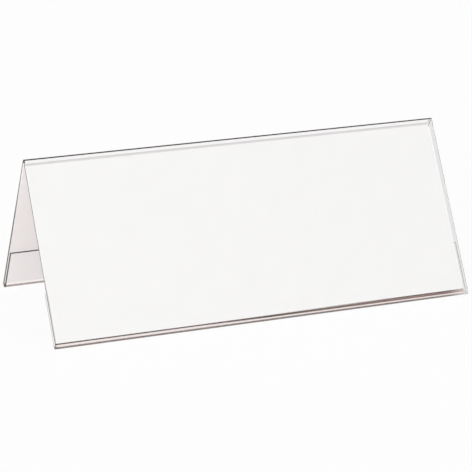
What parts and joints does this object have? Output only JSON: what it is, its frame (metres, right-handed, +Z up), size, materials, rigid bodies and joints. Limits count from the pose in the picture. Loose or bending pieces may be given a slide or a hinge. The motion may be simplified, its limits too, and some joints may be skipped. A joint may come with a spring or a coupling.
{
  "type": "place card holder",
  "caption": "Clear tent-shaped place card holder with hemmed lower edges that hold a folded white insert card; leaves flex at the ridge and the card slides out sideways.",
  "frame": {"origin": "on the table under the middle of the ridge", "axes": "+X along the ridge to the right of someone who faces the front leaf, -Y out of the front leaf, +Z up"},
  "size_m": [0.15, 0.0666, 0.0557],
  "materials": {
    "clear_film": "clear rigid plastic film with a glossy surface and slightly darker cut edges and bends",
    "white_card": null
  },
  "bodies": {
    "film_front": {"ridge_bend": "clear_film", "front_leaf": "clear_film", "front_hem": "clear_film", "front_lip": "clear_film"},
    "film_rear": {"rear_leaf": "clear_film", "rear_hem": "clear_film", "rear_lip": "clear_film"},
    "insert_front": {"card_fold": "white_card", "card_front": "white_card"},
    "insert_rear": {"card_rear": "white_card"}
  },
  "joints": [
    {"name": "ridge_fold", "type": "hinge", "parent": "film_front", "child": "film_rear", "pos_m": [0, 0, 0.0551], "axis": [1, 0, 0], "range_deg": [-25, 30], "stiffness_Nm_per_rad": 0.1},
    {"name": "insert_slide", "type": "slide", "parent": "film_front", "child": "insert_front", "axis": [1, 0, 0], "range_m": [-0.14, 0.14]},
    {"name": "insert_fold", "type": "hinge", "parent": "insert_front", "child": "insert_rear", "pos_m": [0, 0, 0.0551], "axis": [1, 0, 0], "range_deg": [-25, 30]}
  ],
  "couplings": [
    {"joint": "insert_fold", "follows": "ridge_fold", "ratio": 1}
  ]
}
